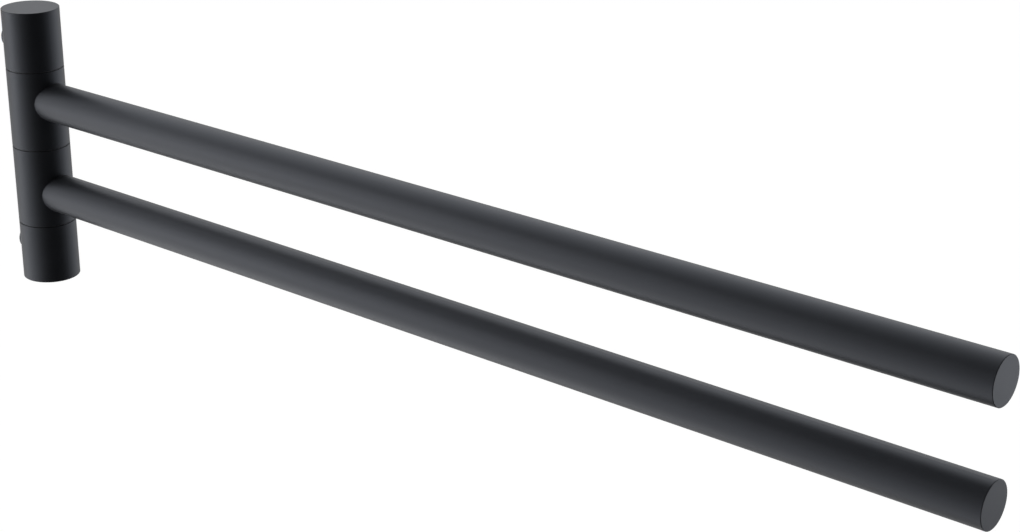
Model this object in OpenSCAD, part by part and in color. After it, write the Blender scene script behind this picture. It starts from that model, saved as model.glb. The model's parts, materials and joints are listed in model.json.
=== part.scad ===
// Swing-arm double towel rail for a wall.
// Two round arms, one above the other, swivel on one upright column of four
// stacked hubs. The outer hubs are fixed to the wall on short stubs, and a
// steel spindle runs through all four. All lengths are in millimetres.
// +X points away from the wall, +Z points up, and the origin lies on the wall,
// midway between the two wall stubs.

/* [Column] */
// Outside diameter of the column's four hubs
column_d = 22; // [21:0.5:26]
// Height of each fixed end hub
end_hub_h = 23; // [22:0.05:32]
// Height of each swivelling arm hub
arm_hub_h = 30.75; // [28:0.05:44]
// Height of the gap between two neighbouring hubs
seam_gap = 0.3; // [0.2:0.05:1]
// Chamfer on the column's ends, the wall stubs and the arms' ends
edge_chamfer = 0.15; // [0.1:0.05:0.6]
// Chamfer on a hub's edge at a seam
seam_chamfer = 0.15; // [0.05:0.05:0.4]

/* [Arms] */
// Outside diameter of an arm tube
arm_d = 15; // [10:0.5:16]
// Wall thickness of an arm tube
arm_wall = 1; // [0.8:0.1:2]
// Reach of an arm from the pivot axis to its end face
arm_reach = 412; // [200:2:600]
// Distance from the middle of an arm hub to its arm's axis, away from the other arm
arm_offset = 2.9; // [0:0.05:4]
// Depth of an arm's seat in its hub, at the sides of the tube
arm_seat_depth = 0.9; // [0.5:0.1:1.2]
// Thickness of the closing disc on an arm's end plug
plug_face_t = 1.5; // [1:0.1:3]
// Length of the end plug's spigot inside the tube
plug_spigot_len = 9; // [5:0.5:20]

/* [Swivel] */
// Diameter of the steel spindle
spindle_d = 8; // [7:0.5:9]
// Depth of the spindle's seat in the top hub
top_grip = 17; // [12:0.5:18]
// Depth of the spindle's seat in the bottom hub
bottom_grip = 14; // [11:0.5:14.5]
// Gap left at the end of each seat, so that the stack can be drawn tight
take_up = 0.5; // [0.3:0.1:1]
// Wall thickness of a bearing bush
bush_wall = 1.9; // [1.2:0.1:2]
// Length of a bearing bush
bush_len = 9; // [6:0.5:12]
// How far a thrust washer's rim lies inside the column's surface
washer_inset = 0.4; // [0.3:0.1:2]
// Chamfer on the edges of the bushes and the screws
small_chamfer = 0.3; // [0.1:0.05:0.5]
// Lead-in chamfer on the spindle's ends and on the end plugs' spigots
lead_chamfer = 0.6; // [0.3:0.1:1]

/* [Wall stubs] */
// Outside diameter of a wall stub
stub_d = 10.4; // [9:0.1:11.4]
// Bore of a wall stub, for a stud that stands out of the wall
stub_bore_d = 6.2; // [5.2:0.1:6.4]
// Gap between the wall and the back of the column
stub_standoff = 1.8; // [1.5:0.1:10]
// Hub material left between a stub's seat and the spindle's seat
stub_web = 1; // [0.6:0.1:2]
// Distance from an end hub's outer face to its stub's axis
stub_inset = 12.85; // [12:0.05:14]

/* [Set screws] */
// Thread diameter of a set screw that clamps a wall stud
set_screw_d = 3; // [2.5:0.5:3.5]
// Distance from the end of a stub to the edge of its set screw
set_screw_margin = 0.2; // [0.1:0.1:0.5]
// Depth of a set screw's outer face below the column's surface
set_screw_recess = 0.2; // [0.1:0.1:0.8]
// Width across flats of a set screw's hexagon socket
set_screw_hex = 1.5; // [1.3:0.1:1.8]
// Depth of a set screw's hexagon socket
set_screw_socket = 1.8; // [1:0.1:2.2]

/* [Tension screw] */
// Thread diameter of the tension screw
tension_d = 5; // [4:0.5:5]
// Length of the tension screw below its head
tension_len = 16; // [12:1:20]
// Diameter of the tension screw's head
tension_head_d = 8.5; // [7.5:0.5:9]
// Height of the tension screw's head
tension_head_h = 3.5; // [2.8:0.1:4]
// Width across flats of the tension screw's hexagon socket
tension_hex = 3; // [2.5:0.5:4]
// Depth of the tension screw's hexagon socket
tension_socket = 2.1; // [1.5:0.1:2.4]
// Depth of the tension screw's head below the column's bottom face
tension_sink = 0.8; // [0.2:0.1:1]
// Sheet thickness of the conical spring washer under that head
spring_t = 0.7; // [0.4:0.1:0.9]
// Rise of the spring washer's cone
spring_rise = 0.5; // [0.3:0.1:0.7]

/* [Clearances] */
// Radial running clearance between a bush and the spindle
run_clearance = 0.05; // [0.03:0.01:0.08]
// Radial clearance of a piece that is pressed, screwed or bonded in its seat
seat_clearance = 0.02; // [0.01:0.01:0.04]
// Clearance above and below a thrust washer
washer_clearance = 0.02; // [0.01:0.01:0.04]
// Radial clearance of a hole that a shaft or screw only passes through
pass_clearance = 0.2; // [0.15:0.05:0.3]
// Radial clearance around the tension screw's head
head_clearance = 0.4; // [0.2:0.1:0.6]

/* [Hidden] */
$fn = 96;

black_coat = [0.09, 0.09, 0.095];
bright_steel = [0.72, 0.73, 0.74];
dark_steel = [0.16, 0.16, 0.17];
black_polymer = [0.05, 0.05, 0.05];

// Overrun of a cut beyond the face that it opens
cut = 1;
// Depth of the spindle's tapped hole beyond the tension screw's tip
tap_extra = 2;

column_r = column_d / 2;
pivot_x = stub_standoff + column_r;

// Heights, counted up from the middle of the column
arm_hub_z = seam_gap / 2;
arm_z = arm_hub_z + arm_hub_h / 2 + arm_offset;
end_hub_z = arm_hub_z + arm_hub_h + seam_gap;
column_half = end_hub_z + end_hub_h;
stub_z = column_half - stub_inset;

// Spindle and bushes
spindle_r = spindle_d / 2;
spindle_seat_r = spindle_r + seat_clearance;
spindle_top = end_hub_z + top_grip - take_up;
spindle_bottom = take_up - end_hub_z - bottom_grip;
bush_bore_r = spindle_r + run_clearance;
bush_r = bush_bore_r + bush_wall;

// Arm tube, whose square end lies below the hub's surface all the way round
arm_r = arm_d / 2;
arm_bore_r = arm_r - arm_wall;
arm_seat_x = sqrt(pow(column_r, 2) - pow(arm_r, 2)) - arm_seat_depth;
plug_x = arm_reach - plug_face_t;

// Wall stub, and the set screw that lies across its inner end
stub_r = stub_d / 2;
stub_bore_r = stub_bore_d / 2;
stub_end_x = pivot_x - spindle_seat_r - stub_web;
set_screw_r = set_screw_d / 2;
set_screw_x = stub_end_x - set_screw_margin - set_screw_r;
set_screw_tip_y = stub_bore_r + seat_clearance;
set_screw_edge_x = pivot_x - set_screw_x + set_screw_r;
set_screw_end_y = sqrt(pow(column_r, 2) - pow(set_screw_edge_x, 2)) - set_screw_recess;

// Tension screw and spring washer, from the column's bottom face up
tension_r = tension_d / 2;
tension_hole_r = tension_r + pass_clearance;
tension_head_z = tension_sink - column_half;
tension_seat_z = tension_head_z + tension_head_h;
spring_h = spring_t + spring_rise;
counterbore_r = tension_head_d / 2 + head_clearance;
counterbore_z = tension_seat_z + spring_h;

// Corner radius of a hexagon from its width across flats
function across_corners(flats) = flats / cos(30) / 2;

// Turned disc or rod about Z, with a chamfer on its lower and its upper edge
module turned(r, h, low, high) {
    rotate_extrude()
        polygon([[0, 0], [r - low, 0], [r, low], [r, h - high], [r - high, h], [0, h]]);
}

// Hole about Z that is open at its lower end
module hole_up(r, z0, z1) {
    translate([0, 0, z0 - cut])
        cylinder(r = r, h = z1 - z0 + cut);
}

// Cylinder along +X from x0 to x1
module along_x(r, x0, x1) {
    translate([x0, 0, 0])
        rotate([0, 90, 0])
            cylinder(r = r, h = x1 - x0);
}

// Moves what is built about the Z axis to the pivot axis, turned over for the lower arm
module on_pivot(turned_over = false) {
    translate([pivot_x, 0, 0])
        rotate([turned_over ? 180 : 0, 0, 0])
            children();
}

// Hexagon socket that opens upwards at z
module hex_socket(flats, depth, z) {
    translate([0, 0, z - depth])
        cylinder(r = across_corners(flats), h = depth + cut, $fn = 6);
}

// Tapped hole for the set screw of the stub at height z
module set_screw_hole(z) {
    translate([set_screw_x, 0, z])
        rotate([-90, 0, 0])
            cylinder(r = set_screw_r + seat_clearance, h = column_r);
}

// Seat of the wall stub at height z, with its set screw's hole
module stub_seat_cut(z) {
    translate([0, 0, z])
        along_x(stub_r + seat_clearance, 0, stub_end_x);
    set_screw_hole(z);
}

// Fixed hub at the column's head, closed on top
module top_hub() {
    color(black_coat)
        difference() {
            on_pivot() {
                difference() {
                    translate([0, 0, end_hub_z])
                        turned(column_r, end_hub_h, seam_chamfer, edge_chamfer);
                    hole_up(spindle_seat_r, end_hub_z, end_hub_z + top_grip);
                }
            }
            stub_seat_cut(stub_z);
        }
}

// Fixed hub at the column's foot, which the tension screw draws up against the stack
module bottom_hub() {
    color(black_coat)
        difference() {
            on_pivot() {
                difference() {
                    translate([0, 0, -column_half])
                        turned(column_r, end_hub_h, edge_chamfer, seam_chamfer);
                    translate([0, 0, -end_hub_z - bottom_grip])
                        cylinder(r = spindle_seat_r, h = bottom_grip + cut);
                    hole_up(tension_hole_r, -column_half, -end_hub_z);
                    hole_up(counterbore_r, -column_half, counterbore_z);
                }
            }
            stub_seat_cut(-stub_z);
        }
}

// Ground rod through all four hubs, tapped at its foot for the tension screw
module spindle() {
    color(bright_steel)
        on_pivot()
            difference() {
                translate([0, 0, spindle_bottom])
                    turned(spindle_r, spindle_top - spindle_bottom, lead_chamfer, lead_chamfer);
                hole_up(tension_r + seat_clearance, spindle_bottom,
                        tension_seat_z + tension_len + tap_extra);
            }
}

// Sleeve at height z that keeps the column off the wall and takes the wall's stud
module wall_stub(z) {
    color(black_coat)
        difference() {
            translate([0, 0, z])
                rotate([0, 90, 0])
                    difference() {
                        turned(stub_r, stub_end_x, edge_chamfer, edge_chamfer);
                        hole_up(stub_bore_r, 0, stub_end_x + cut);
                    }
            set_screw_hole(z);
        }
}

// Headless screw with a hexagon socket, across the stub at height z
module set_screw(z) {
    length = set_screw_end_y - set_screw_tip_y;
    color(dark_steel)
        translate([set_screw_x, set_screw_tip_y, z])
            rotate([-90, 0, 0])
                difference() {
                    turned(set_screw_r, length, small_chamfer, small_chamfer);
                    hex_socket(set_screw_hex, set_screw_socket, length);
                }
}

// Low-head socket screw under the column, which sets the friction of both arms
module tension_screw() {
    color(dark_steel)
        on_pivot()
            difference() {
                union() {
                    translate([0, 0, tension_head_z])
                        turned(tension_head_d / 2, tension_head_h, small_chamfer, small_chamfer);
                    translate([0, 0, tension_seat_z - cut])
                        turned(tension_r, tension_len + cut, small_chamfer, small_chamfer);
                }
                mirror([0, 0, 1])
                    hex_socket(tension_hex, tension_socket, -tension_head_z);
            }
}

// Conical spring washer between the tension screw's head and the bottom hub
module spring_washer() {
    hole_r = tension_hole_r;
    rim_r = tension_head_d / 2;
    color(bright_steel)
        translate([pivot_x, 0, tension_seat_z])
            rotate_extrude()
                polygon([[hole_r, 0], [rim_r, spring_rise], [rim_r, spring_h], [hole_r, spring_t]]);
}

// Low-friction washer in the seam whose middle is at height z
module thrust_washer(z) {
    thickness = seam_gap - 2 * washer_clearance;
    color(black_polymer)
        translate([pivot_x, 0, z - thickness / 2])
            difference() {
                cylinder(r = column_r - washer_inset, h = thickness);
                hole_up(bush_bore_r, 0, thickness + cut);
            }
}

// Swivelling hub of the upper arm, with a pocket for a bush at each end and the arm's seat
module arm_hub() {
    hub_top = arm_hub_z + arm_hub_h;
    pocket_r = bush_r + seat_clearance;
    color(black_coat)
        difference() {
            translate([0, 0, arm_hub_z])
                turned(column_r, arm_hub_h, seam_chamfer, seam_chamfer);
            hole_up(spindle_r + pass_clearance, arm_hub_z, hub_top + cut);
            hole_up(pocket_r, arm_hub_z, arm_hub_z + bush_len);
            translate([0, 0, hub_top - bush_len])
                cylinder(r = pocket_r, h = bush_len + cut);
            translate([0, 0, arm_z])
                along_x(arm_r + seat_clearance, arm_seat_x, column_r + cut);
        }
}

// Tube of the upper arm, cut square at both ends
module arm_tube() {
    color(black_coat)
        translate([0, 0, arm_z])
            difference() {
                along_x(arm_r, arm_seat_x, plug_x);
                along_x(arm_bore_r, arm_seat_x - cut, plug_x + cut);
            }
}

// Plug of the upper arm, whose disc closes the tube and whose spigot is pressed into it
module arm_end_plug() {
    spigot_r = arm_bore_r - seat_clearance;
    color(black_coat)
        translate([plug_x, 0, arm_z])
            rotate([0, 90, 0])
                union() {
                    turned(arm_r, plug_face_t, 0, edge_chamfer);
                    translate([0, 0, -plug_spigot_len])
                        turned(spigot_r, plug_spigot_len + plug_face_t / 2, lead_chamfer, 0);
                }
}

// Plain bearing bush whose lower end is at height z
module bush(z) {
    color(black_polymer)
        translate([0, 0, z])
            difference() {
                turned(bush_r, bush_len, small_chamfer, small_chamfer);
                hole_up(bush_bore_r, 0, bush_len + cut);
            }
}

// Bush at the end of the upper arm's hub that faces the end of the column
module outer_bush() {
    bush(arm_hub_z + arm_hub_h - bush_len);
}

// Bush at the end of the upper arm's hub that faces the middle of the column
module inner_bush() {
    bush(arm_hub_z);
}

top_hub();
bottom_hub();
spindle();
wall_stub(stub_z);  // top_wall_stub
wall_stub(-stub_z);  // bottom_wall_stub
set_screw(stub_z);  // top_set_screw
set_screw(-stub_z);  // bottom_set_screw
tension_screw();
spring_washer();
thrust_washer(end_hub_z - seam_gap / 2);  // top_thrust_washer
thrust_washer(0);  // middle_thrust_washer
thrust_washer(seam_gap / 2 - end_hub_z);  // bottom_thrust_washer
on_pivot() arm_hub();  // upper_arm_hub
on_pivot() arm_tube();  // upper_arm_tube
on_pivot() arm_end_plug();  // upper_arm_end_plug
on_pivot() outer_bush();  // upper_arm_outer_bush
on_pivot() inner_bush();  // upper_arm_inner_bush
on_pivot(turned_over = true) arm_hub();  // lower_arm_hub
on_pivot(turned_over = true) arm_tube();  // lower_arm_tube
on_pivot(turned_over = true) arm_end_plug();  // lower_arm_end_plug
on_pivot(turned_over = true) outer_bush();  // lower_arm_outer_bush
on_pivot(turned_over = true) inner_bush();  // lower_arm_inner_bush
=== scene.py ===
# %% [markdown]
# # A towel rack with two swinging arms
#
# The real rack is two straight round arms on one upright column, all in the same matte black coat.
# Its solids come ready made from the packed model, and each one is already in its place. What is
# left for Blender is how it looks: the coat with its fine grain, the bare metal and the plastic
# inside, the small fillets of braze where the arms leave their hubs, and a plain studio round it all.
#
# ## Load the rack
#
# Loading gives a dictionary with the solids as "nodes", the moving groups as "bodies" and the
# packed record. The box round the rack is measured now, before anything is added, so that the
# last cell can compare it with the finished one.

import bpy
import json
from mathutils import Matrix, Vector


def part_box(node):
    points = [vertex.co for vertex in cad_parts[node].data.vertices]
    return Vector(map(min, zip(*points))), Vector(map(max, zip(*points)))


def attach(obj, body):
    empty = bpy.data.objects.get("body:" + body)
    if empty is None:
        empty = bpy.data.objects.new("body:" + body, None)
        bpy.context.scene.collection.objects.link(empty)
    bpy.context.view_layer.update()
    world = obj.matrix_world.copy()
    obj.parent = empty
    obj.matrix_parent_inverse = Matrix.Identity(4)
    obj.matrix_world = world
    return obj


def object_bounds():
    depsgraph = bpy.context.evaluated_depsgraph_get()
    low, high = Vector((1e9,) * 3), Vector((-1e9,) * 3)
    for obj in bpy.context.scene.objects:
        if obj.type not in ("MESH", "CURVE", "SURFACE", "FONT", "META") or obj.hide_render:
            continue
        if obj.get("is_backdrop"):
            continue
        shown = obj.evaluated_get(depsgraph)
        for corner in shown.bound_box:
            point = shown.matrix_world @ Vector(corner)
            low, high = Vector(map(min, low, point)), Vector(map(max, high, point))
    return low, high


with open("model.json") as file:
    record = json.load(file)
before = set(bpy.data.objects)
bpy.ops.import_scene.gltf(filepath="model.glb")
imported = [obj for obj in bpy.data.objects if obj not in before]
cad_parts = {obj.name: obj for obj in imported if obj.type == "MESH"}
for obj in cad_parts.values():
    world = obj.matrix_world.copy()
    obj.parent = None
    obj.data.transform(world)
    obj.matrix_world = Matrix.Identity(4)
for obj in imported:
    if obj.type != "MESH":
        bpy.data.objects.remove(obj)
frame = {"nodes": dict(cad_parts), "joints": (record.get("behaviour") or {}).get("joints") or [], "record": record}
cad_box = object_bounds()
print("the rack's box in metres:", [[round(v, 4) for v in corner] for corner in cad_box])

# %% [markdown]
# ## The tools for the rest
#
# bpy is Blender itself, bmesh builds meshes piece by piece, and mathutils has vectors. One
# millimetre is a thousandth of Blender's metre, and most sizes on the rack read best in millimetres.

# %% Import the tools
import json
import math

import bpy
import bmesh
from mathutils import Quaternion, Vector

MM = 0.001
scene = bpy.context.scene
print("Blender", bpy.app.version_string)

# %% [markdown]
# ## Where things are
#
# Every place on the rack comes from its solids, so that nothing is out of line if it is made in
# another size. A node's box gives its lowest and highest corner. The swing axis comes from the
# record.

# %% Measure the rack
swing = {joint["child"]: Vector(joint["pos_m"]) for joint in frame["joints"]}
column_x = swing["upper_arm"].x
column_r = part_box("upper_arm_hub")[1].x - column_x
tube_low, tube_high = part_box("upper_arm_tube")
tube_r = max(tube_high.y - tube_low.y, tube_high.z - tube_low.z) / 2
arm_end_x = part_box("upper_arm_end_plug")[1].x
print(f"column radius {column_r / MM:.2f} mm, tube radius {tube_r / MM:.2f} mm")
print(f"swing axis {column_x / MM:.2f} mm from the wall, arm ends at {arm_end_x / MM:.1f} mm")

# %% [markdown]
# ## The camera
#
# The rack is seen from its right and a little above, from close by, so that the near ends of the
# arms look larger than the far ones. A camera could be dragged into place by eye. Here it is
# placed by the direction to it, the point that it aims at and its distance, because each of these
# can be read and changed alone. The lamps further down are placed by a direction too, so a helper
# gives it: azimuth is the turn from the arms' direction, seen from above, and elevation is the
# angle over level, both in degrees.
#
# A camera looks along its own -Z, so it is turned until its +Z points back along that direction
# and its +Y points up. It is rolled by a tenth of a degree.

# %% Place the camera
def toward(azimuth, elevation):
    a, e = math.radians(azimuth), math.radians(elevation)
    return Vector((math.cos(e) * math.cos(a), math.cos(e) * math.sin(a), math.sin(e)))


AIM = Vector((252.71, 0.0, 8.25)) * MM
DISTANCE = 643.57 * MM
LENS, SENSOR = 71.57, 36.0
ROLL = Quaternion((0.0, 0.0, 1.0), math.radians(0.1))
back = toward(azimuth=-49.706, elevation=20.911)
camera_data = bpy.data.cameras.new("studio_camera")
camera_data.lens = LENS
camera_data.sensor_width = SENSOR
camera_data.clip_start = 10 * MM
camera = bpy.data.objects.new("studio_camera", camera_data)
scene.collection.objects.link(camera)
camera.location = AIM + back * DISTANCE
camera.rotation_euler = (back.to_track_quat("Z", "Y") @ ROLL).to_euler()
scene.camera = camera
print("camera at", [round(v, 4) for v in camera.location], "with a lens of", LENS, "mm")

# %% [markdown]
# ## Shader nodes written as sums
#
# A shader tree is a web of small boxes. Written out box by box it hides what it works out, so a
# small class wraps one output socket and gives it + - and *. Each sign adds the node for it: a
# Math node for plain numbers, and Vector Math for a vector, because a Math node would turn it into
# a single number. The reflected forms are there too, so that 1 - mask works as well as mask - 1.

# %% Define a socket that can be calculated with
class Wire:
    def __init__(self, finish, socket):
        self.finish, self.socket = finish, socket

    def calculate(self, operation, *values):
        tree = self.finish.tree
        kinds = [value.socket.type for value in values if isinstance(value, Wire)]
        node = tree.nodes.new("ShaderNodeVectorMath" if "VECTOR" in kinds else "ShaderNodeMath")
        node.operation = operation
        for slot, value in zip(node.inputs, values):
            if isinstance(value, Wire):
                tree.links.new(value.socket, slot)
            else:
                slot.default_value = value
        return Wire(self.finish, node.outputs[0])

    def __add__(self, other):
        return self.calculate("ADD", self, other)

    def __radd__(self, other):
        return self.calculate("ADD", other, self)

    def __sub__(self, other):
        return self.calculate("SUBTRACT", self, other)

    def __rsub__(self, other):
        return self.calculate("SUBTRACT", other, self)

    def __mul__(self, other):
        return self.calculate("MULTIPLY", self, other)

    def __rmul__(self, other):
        return self.calculate("MULTIPLY", other, self)


print("a Wire can be used with + - and *")

# %% [markdown]
# ## A finish
#
# One object holds a material, or the world, and its tree. Its method `node` makes any other node:
# first its settings, then the values or wires of its sockets, and it hands back the output that
# is asked for. The short methods after it are for the nodes that every finish here needs: the
# place on the piece, noise of a given size, a soft ramp, a bump and a blend of two colours. The
# Mix node keeps the sockets of all its kinds in one list, and its colours are numbers 6 and 7.

# %% Define a finish
class Finish:
    def __init__(self, name, owner=None):
        self.owner = owner or bpy.data.materials.new(name)
        self.owner.use_nodes = True
        self.tree = self.owner.node_tree
        self.tree.nodes.clear()

    def node(self, kind, settings=None, values=None, output=0):
        node = self.tree.nodes.new(kind)
        for key, value in (settings or {}).items():
            setattr(node, key, value)
        for key, value in (values or {}).items():
            if isinstance(value, Wire):
                self.tree.links.new(value.socket, node.inputs[key])
            else:
                node.inputs[key].default_value = value
        return Wire(self, node.outputs[output]) if node.outputs else None

    def place(self):
        return self.node("ShaderNodeTexCoord", output="Object")

    def noise(self, where, size, detail=2.0, rough=0.5):
        return self.node("ShaderNodeTexNoise", values={
            "Vector": where, "Scale": 1.0 / size, "Detail": detail, "Roughness": rough})

    def ramp(self, value, low, high):
        return self.node("ShaderNodeMapRange", {"interpolation_type": "SMOOTHSTEP"}, {
            "Value": value, "From Min": low, "From Max": high})

    def bump(self, height, strength, distance):
        return self.node("ShaderNodeBump", values={
            "Height": height, "Strength": strength, "Distance": distance})

    def blend_colours(self, factor, first, second):
        return self.node("ShaderNodeMix", {"data_type": "RGBA"},
                         {0: factor, 6: first, 7: second}, output=2)

    def surface(self, values):
        shader = self.node("ShaderNodeBsdfPrincipled", values=values)
        self.node("ShaderNodeOutputMaterial", values={"Surface": shader})
        return self.owner


print("a Finish has", ", ".join(name for name in vars(Finish) if not name.startswith("_")))

# %% [markdown]
# ## The black coat
#
# Every piece that shows is powder coated in a matte black: a sprayed powder that melts into a skin
# a tenth of a millimetre thick. Close up the skin isn't flat. It has the shallow waves that a
# painter calls orange peel, about a millimetre apart, and a finer grain on top from the matting
# agent. Both are bumps of a few thousandths of a millimetre. They could be modelled, but a bump
# map does it with no faces.
#
# A matte skin scatters part of the light before it can mirror it. So the mirror part is set lower
# than on clear lacquer, with a faint blue in it, and it is spread wide by the roughness. The
# colour under it is close to black. Both wander a little from place to place, as a sprayed coat's
# thickness does.

# %% Make the black coat
THICK_COAT, THIN_COAT = (0.0058, 0.0061, 0.0070, 1.0), (0.0072, 0.0076, 0.0086, 1.0)
MATTE_MIRROR, BLUISH = 0.27, (0.86, 0.905, 1.0, 1.0)


def black_coat(name):
    coat = Finish(name)
    where = coat.place()
    cloud = coat.noise(where, 14 * MM, detail=3.0, rough=0.55)
    peel = coat.noise(where, 1.3 * MM)
    grain = coat.noise(where, 0.28 * MM, rough=0.6)
    return coat.surface({
        "Base Color": coat.blend_colours(coat.ramp(cloud, 0.3, 0.7), THICK_COAT, THIN_COAT),
        "Roughness": 0.46 + cloud * 0.03 + grain * 0.03,
        "Normal": coat.bump(peel * 0.7 + grain * 0.3, strength=0.5, distance=0.012 * MM),
        "IOR": 1.5, "Specular IOR Level": MATTE_MIRROR, "Specular Tint": BLUISH})


COAT = black_coat("matte_black_coat")
print("made", COAT.name, "with", len(COAT.node_tree.nodes), "nodes")

# %% [markdown]
# ## Ground steel
#
# The spindle and the spring washer are ground bright, and the grinding wheel leaves fine rings
# round the swing axis. Rings could be drawn as a wave, but a wave is too even. Noise that is
# stretched twenty times across and left as it is along the axis gives rings of uneven depth. To
# stretch it, the place is multiplied by a vector before the noise reads it.

# %% Make the ground steel
DULL_STEEL, BRIGHT_STEEL = (0.56, 0.57, 0.58, 1.0), (0.66, 0.67, 0.68, 1.0)
STRETCH = (0.05, 0.05, 1.0)


def ground_steel(name):
    steel = Finish(name)
    where = steel.place()
    lines = steel.noise(where * STRETCH, 0.09 * MM, detail=3.0, rough=0.6)
    cloud = steel.noise(where, 5 * MM)
    return steel.surface({
        "Base Color": steel.blend_colours(steel.ramp(cloud, 0.3, 0.7), DULL_STEEL, BRIGHT_STEEL),
        "Metallic": 1.0, "Roughness": 0.24 + lines * 0.16,
        "Normal": steel.bump(lines, strength=0.35, distance=0.01 * MM)})


GROUND = ground_steel("ground_spindle_steel")
print("made", GROUND.name, "with", len(GROUND.node_tree.nodes), "nodes")

# %% [markdown]
# ## Blackened steel
#
# The screws are blackened in hot salts, which turns the steel's own surface into a thin dark
# oxide. It is still a metal's shine, so the finish is metallic with a dark colour, not a black
# paint. The oxide has a brown cast here and there, which a soft cloud of noise blends in.

# %% Make the blackened steel
BLUE_BLACK, BROWN_BLACK = (0.036, 0.037, 0.040, 1.0), (0.060, 0.054, 0.049, 1.0)


def blackened_steel(name):
    steel = Finish(name)
    where = steel.place()
    cloud = steel.noise(where, 2.2 * MM, detail=3.0, rough=0.6)
    grain = steel.noise(where, 0.25 * MM, rough=0.6)
    return steel.surface({
        "Base Color": steel.blend_colours(steel.ramp(cloud, 0.35, 0.7), BLUE_BLACK, BROWN_BLACK),
        "Metallic": 1.0, "Roughness": 0.33 + cloud * 0.2,
        "Normal": steel.bump(grain, strength=0.4, distance=0.01 * MM)})


BLACKENED = blackened_steel("blackened_screw_steel")
print("made", BLACKENED.name, "with", len(BLACKENED.node_tree.nodes), "nodes")

# %% [markdown]
# ## Bearing plastic
#
# The slip washers and the bushes are turned from a black bearing plastic. It is dull and a little
# uneven, with no skin or print on it, so one grain for the bump and the roughness is enough.

# %% Make the bearing plastic
DARK_PLASTIC, WORN_PLASTIC = (0.024, 0.024, 0.024, 1.0), (0.034, 0.034, 0.034, 1.0)


def bearing_plastic(name):
    plastic = Finish(name)
    where = plastic.place()
    cloud = plastic.noise(where, 3 * MM)
    grain = plastic.noise(where, 0.2 * MM, rough=0.6)
    return plastic.surface({
        "Base Color": plastic.blend_colours(cloud, DARK_PLASTIC, WORN_PLASTIC),
        "Roughness": 0.42 + grain * 0.16,
        "Normal": plastic.bump(grain, strength=0.3, distance=0.01 * MM)})


PLASTIC = bearing_plastic("black_bearing_plastic")
print("made", PLASTIC.name, "with", len(PLASTIC.node_tree.nodes), "nodes")

# %% [markdown]
# ## Dress the solids
#
# The record says which slot each solid's finish comes from, so a loop can hand the finishes out.
# Only the material slots change: the solids keep their places and their meshes.

# %% Give each solid its finish
FINISHES = {"black_coat": COAT, "ground_steel": GROUND,
            "blackened_steel": BLACKENED, "black_polymer": PLASTIC}
wearers = {finish.name: 0 for finish in FINISHES.values()}
for part in frame["record"]["subparts"]:
    finish = FINISHES[part["material_slot"]]
    wearers[finish.name] += 1
    for slot in frame["nodes"][part["node"]].material_slots:
        slot.material = finish
print("solids with each finish:", wearers)

# %% [markdown]
# ## Fillets of braze
#
# Each arm is brazed into its hub. The filler creeps into the corner between them by itself and
# leaves a hollow fillet about a fifth of a millimetre wide, which the coat then covers, so the
# corner is never quite sharp. A ball that rolls round the corner and touches both cylinders draws
# exactly that shape: its centre stays one ball radius off each of them, and the fillet is the
# short arc between the two places where it touches. A bevel modifier would need the two solids
# joined into one, so the ring is built point by point.
#
# The first cell finds one slice of the fillet at a turn round the tube. Its size wanders a
# little, as a hand-fed fillet does: three long waves and seven short ones run round it, and the
# height of the arm shifts the long ones, so that the two fillets differ. The last point of a slice
# is buried in the metal behind the corner, so that the ring is a closed body.

# %% Find one slice of a fillet
BALL, BURIED = 0.2 * MM, 0.15 * MM
LONG_WAVES, SHORT_WAVES, SHIFT = 3, 7, 900


def fillet_slice(axis_z, turn, across):
    long_wave = 0.10 * math.sin(LONG_WAVES * turn + axis_z * SHIFT)
    short_wave = 0.06 * math.sin(SHORT_WAVES * turn + 1)
    r = BALL * (1 + long_wave + short_wave)
    y, z = (tube_r + r) * math.cos(turn), (tube_r + r) * math.sin(turn)
    reach = math.sqrt((column_r + r) ** 2 - y ** 2)
    centre = Vector((column_x + reach, y, axis_z + z))
    on_tube = Vector((centre.x, tube_r * math.cos(turn), axis_z + tube_r * math.sin(turn)))
    out = Vector((reach, y, 0.0)).normalized()
    on_hub = Vector((column_x, 0.0, centre.z)) + out * column_r
    first, last = (on_tube - centre).normalized(), (on_hub - centre).normalized()
    arc = [centre + first.slerp(last, j / across) * r for j in range(across + 1)]
    return arc + [(on_tube + on_hub) / 2 + (first + last).normalized() * BURIED]


# %% [markdown]
# ## Join the slices into rings
#
# bmesh holds a mesh while it is being built. A helper turns a finished one into an object of the
# scene, here and again in the studio below. For a fillet, neighbouring slices are joined by
# four-sided faces, and the last slice is joined to the first. The hollow side is smooth shaded
# and the buried sides are flat. Each ring rides on its arm, so that it swings with it, and takes
# its finish from the same slot as the arm.

# %% Build the two fillets
def add_mesh(name, mesh, material):
    data = bpy.data.meshes.new(name)
    mesh.to_mesh(data)
    mesh.free()
    data.materials.append(material)
    thing = bpy.data.objects.new(name, data)
    scene.collection.objects.link(thing)
    bpy.context.view_layer.update()
    return thing


def braze_fillet(name, body, around=144, across=6):
    mesh = bmesh.new()
    rings = [[mesh.verts.new(point) for point in
              fillet_slice(swing[body].z, 2 * math.pi * i / around, across)]
             for i in range(around)]
    for one, two in zip(rings, rings[1:] + rings[:1]):
        for j in range(len(one)):
            k = (j + 1) % len(one)
            mesh.faces.new((one[j], one[k], two[k], two[j])).smooth = j < across
    bmesh.ops.recalc_face_normals(mesh, faces=mesh.faces)
    piece = add_mesh(name, mesh, COAT)
    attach(piece, body)
    return piece


for body in ("upper_arm", "lower_arm"):
    fillet = braze_fillet(body + "_braze_fillet", body)
    print(fillet.name, "has", len(fillet.data.polygons), "faces and is",
          f"{fillet.dimensions.y / MM:.2f} mm across")

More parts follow.
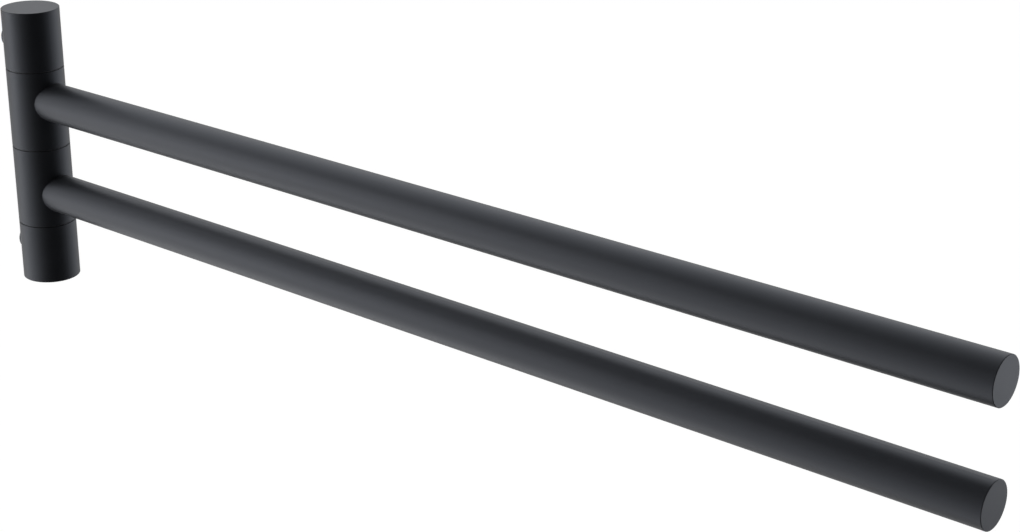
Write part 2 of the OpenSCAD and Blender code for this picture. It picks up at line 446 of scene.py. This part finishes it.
# %% [markdown]
# ## A white room
#
# The rack hangs well clear of the floor, as it would on a bathroom wall, in a plain white room.
# The room could be modelled with walls, but the world is simpler: it is the light that comes from
# every direction at once. Two levels are kept apart. The camera, a reflection or a view through
# glass sees full white, a strength of 1. A matte surface is lit at less than half of that, and the
# softboxes add the rest, so that a colour renders about as it is written. The Light Path node
# tells which kind of ray is asking.

# %% Make the white room
MIDDLE = (Vector(cad_box[0]) + Vector(cad_box[1])) / 2
WHITE = (1.0, 1.0, 1.0, 1.0)
FILL = 0.33


def seen_directly(finish):
    rays = [finish.node("ShaderNodeLightPath", output=name)
            for name in ("Is Camera Ray", "Is Glossy Ray", "Is Transmission Ray")]
    either = rays[0].calculate("MAXIMUM", rays[0], rays[1])
    return either.calculate("MAXIMUM", either, rays[2])


room = Finish("white_room", bpy.data.worlds.new("white_room"))
scene.world = room.owner
seen = seen_directly(room)
sky = room.node("ShaderNodeBackground", values={
    "Color": WHITE, "Strength": seen + FILL * (1 - seen)})
room.node("ShaderNodeOutputWorld", values={"Surface": sky})
print("the room lights matte surfaces at", FILL, "and shows as 1")
print("the middle of the rack, in metres:", [round(v, 4) for v in MIDDLE])

# %% [markdown] ## The floor  The floor is a plain pale sheet far below, so wide that its edge is
# never in sight. Where the camera or a reflection sees it, it is the same white as the room, so
# no horizon line shows: most of that white is its own glow, and a faint diffuse part keeps the
# rack's shadow. For every other ray it is an ordinary matte white that throws light back up.

# %% Lay the floor
HEIGHT, HALF_WIDTH = 1.5, 30.0
GLOW, FAINT, PALE = 0.985, (0.06, 0.06, 0.06, 1.0), (0.8, 0.8, 0.8, 1.0)
pale = Finish("pale_floor")
glow = pale.node("ShaderNodeEmission", values={"Color": WHITE, "Strength": GLOW})
faint = pale.node("ShaderNodeBsdfDiffuse", values={"Color": FAINT})
shown = pale.node("ShaderNodeAddShader", values={0: glow, 1: faint})
matte = pale.node("ShaderNodeBsdfDiffuse", values={"Color": PALE})
both = pale.node("ShaderNodeMixShader", values={0: seen_directly(pale), 1: matte, 2: shown})
pale.node("ShaderNodeOutputMaterial", values={"Surface": both})
sheet = bmesh.new()
bmesh.ops.create_grid(sheet, x_segments=8, y_segments=8, size=HALF_WIDTH)
floor = add_mesh("floor", sheet, pale.owner)
floor.location = (0.0, 0.0, -HEIGHT)
floor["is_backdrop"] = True
print("the floor is", round(floor.dimensions.x), "m wide and", HEIGHT, "m below the rack")

# %% [markdown]
# ## The dark side of the studio
#
# A round black thing on white shows its shape only if the studio has a dark side: with white all
# round, the front of every tube would shine as grey as its edges. A product studio hangs black
# cloth on the camera's side for this. Here it is a tent, a part of a sphere round the rack that
# is open behind it. It is built as a grid: so many degrees to either side of its middle, and
# nearly straight up and straight down. It does the one thing that it is for, to be seen in
# reflections. It is hidden from the camera, from matte surfaces and from shadows, so it takes no
# light away from the rack. It glows very faintly, as black cloth in a bright room does.

# %% Pitch the black tent
RADIUS, MIDDLE_TURN, HALF_TURN, TOP = 1.42, -46, 104, 89
CLOTH_GLOW = 0.03


def tent_mesh(columns=60, rows=24):
    mesh = bmesh.new()
    turns = [MIDDLE_TURN + HALF_TURN * (2 * i / columns - 1) for i in range(columns + 1)]
    lifts = [TOP * (2 * j / rows - 1) for j in range(rows + 1)]
    grid = [[mesh.verts.new(MIDDLE + toward(turn, lift) * RADIUS) for turn in turns]
            for lift in lifts]
    for low, high in zip(grid, grid[1:]):
        for i in range(columns):
            mesh.faces.new((low[i], low[i + 1], high[i + 1], high[i]))
    return mesh


cloth = Finish("black_cloth")
dim = cloth.node("ShaderNodeEmission", values={"Color": WHITE, "Strength": CLOTH_GLOW})
cloth.node("ShaderNodeOutputMaterial", values={"Surface": dim})
tent = add_mesh("black_tent", tent_mesh(), cloth.owner)
tent.visible_camera = tent.visible_diffuse = tent.visible_shadow = False
tent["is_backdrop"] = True
print("the black tent is", round(tent.dimensions.z, 2), "m high, open at the back")

# %% [markdown]
# ## The softboxes
#
# A softbox is a lamp behind a white sheet. On a round bar each one shows as a soft stripe along
# its length, and where the stripe lies depends only on the direction of the box. Bare lamps would
# give hard shadows and thin glints, and the world alone gives no stripes at all. So each box is an
# area lamp, placed by its direction from the rack and turned to face it. Its size is given by the
# angle that it fills, seen from the rack, and its energy by how bright its sheet looks, so that it
# can be moved or resized and looks as bright as before. Pi comes in because a sheet of brightness
# 1 sends out pi watts from each square metre.

# %% Define a softbox
def softbox(name, azimuth, elevation, half_width, half_height, brightness, colour, distance=1.2):
    away = toward(azimuth, elevation)
    lamp = bpy.data.lights.new(name, "AREA")
    lamp.shape = "RECTANGLE"
    lamp.size = 2 * distance * math.tan(math.radians(half_width))
    lamp.size_y = 2 * distance * math.tan(math.radians(half_height))
    lamp.energy = brightness * math.pi * lamp.size * lamp.size_y
    lamp.color = colour
    box = bpy.data.objects.new(name, lamp)
    scene.collection.objects.link(box)
    box.location = MIDDLE + away * distance
    box.rotation_euler = away.to_track_quat("Z", "Y").to_euler()
    box.visible_camera = False
    print(f"{name} is {lamp.size:.2f} by {lamp.size_y:.2f} m, {lamp.energy:.1f} W")


# %% [markdown]
# ## Hang the softboxes
#
# The main light comes from the camera's left, on the side of the wall. A narrow bright strip
# draws the crisp stripe down the column, a wide box softens it and lights the arms along their
# length, and a low box fills them from below. A long box beyond the arms' ends lights their flat
# discs. Two weaker ones behind the rack, one above the other, light the column's top and the
# arms' upper sides. All of them have the colour of a lightly clouded sky, the last three a little
# bluer. The numbers are azimuth, elevation, half the width, half the height, all in degrees, and
# the brightness.

# %% Hang the softboxes
DAY = (0.985, 1.0, 1.04)
SKY = (0.93, 0.98, 1.08)
softbox("strip_box", -138, 10, 5, 22, 9.2, DAY)
softbox("wide_box", -129, 5, 18, 28, 1.26, DAY, distance=1.3)
softbox("low_box", -130, -38, 34, 33, 2.24, DAY, distance=1.1)
softbox("side_box", 65, -10, 36, 16, 1.86, SKY)
softbox("back_box", 159, 35, 55, 11.5, 1.60, SKY)
softbox("high_box", 159, 60, 45, 12, 1.46, SKY)

# %% [markdown]
# ## Colours as written
#
# Blender's usual view transform bends bright colours to look like film. The Standard one shows
# each colour as it is, which suits an object whose colours have to be trusted.

# %% Set the view transform
scene.view_settings.view_transform = "Standard"
print("view transform:", scene.view_settings.view_transform)

# %% [markdown] ## Check the size and finish  What was added has to stay inside the box that the
# rack had at the start.

# %% Compare the boxes and finish
final_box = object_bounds()
growth = max(abs(new - old) for corners in zip(cad_box, final_box) for old, new in zip(*corners))
print(f"the box grew by {growth / MM:.3f} mm at most")
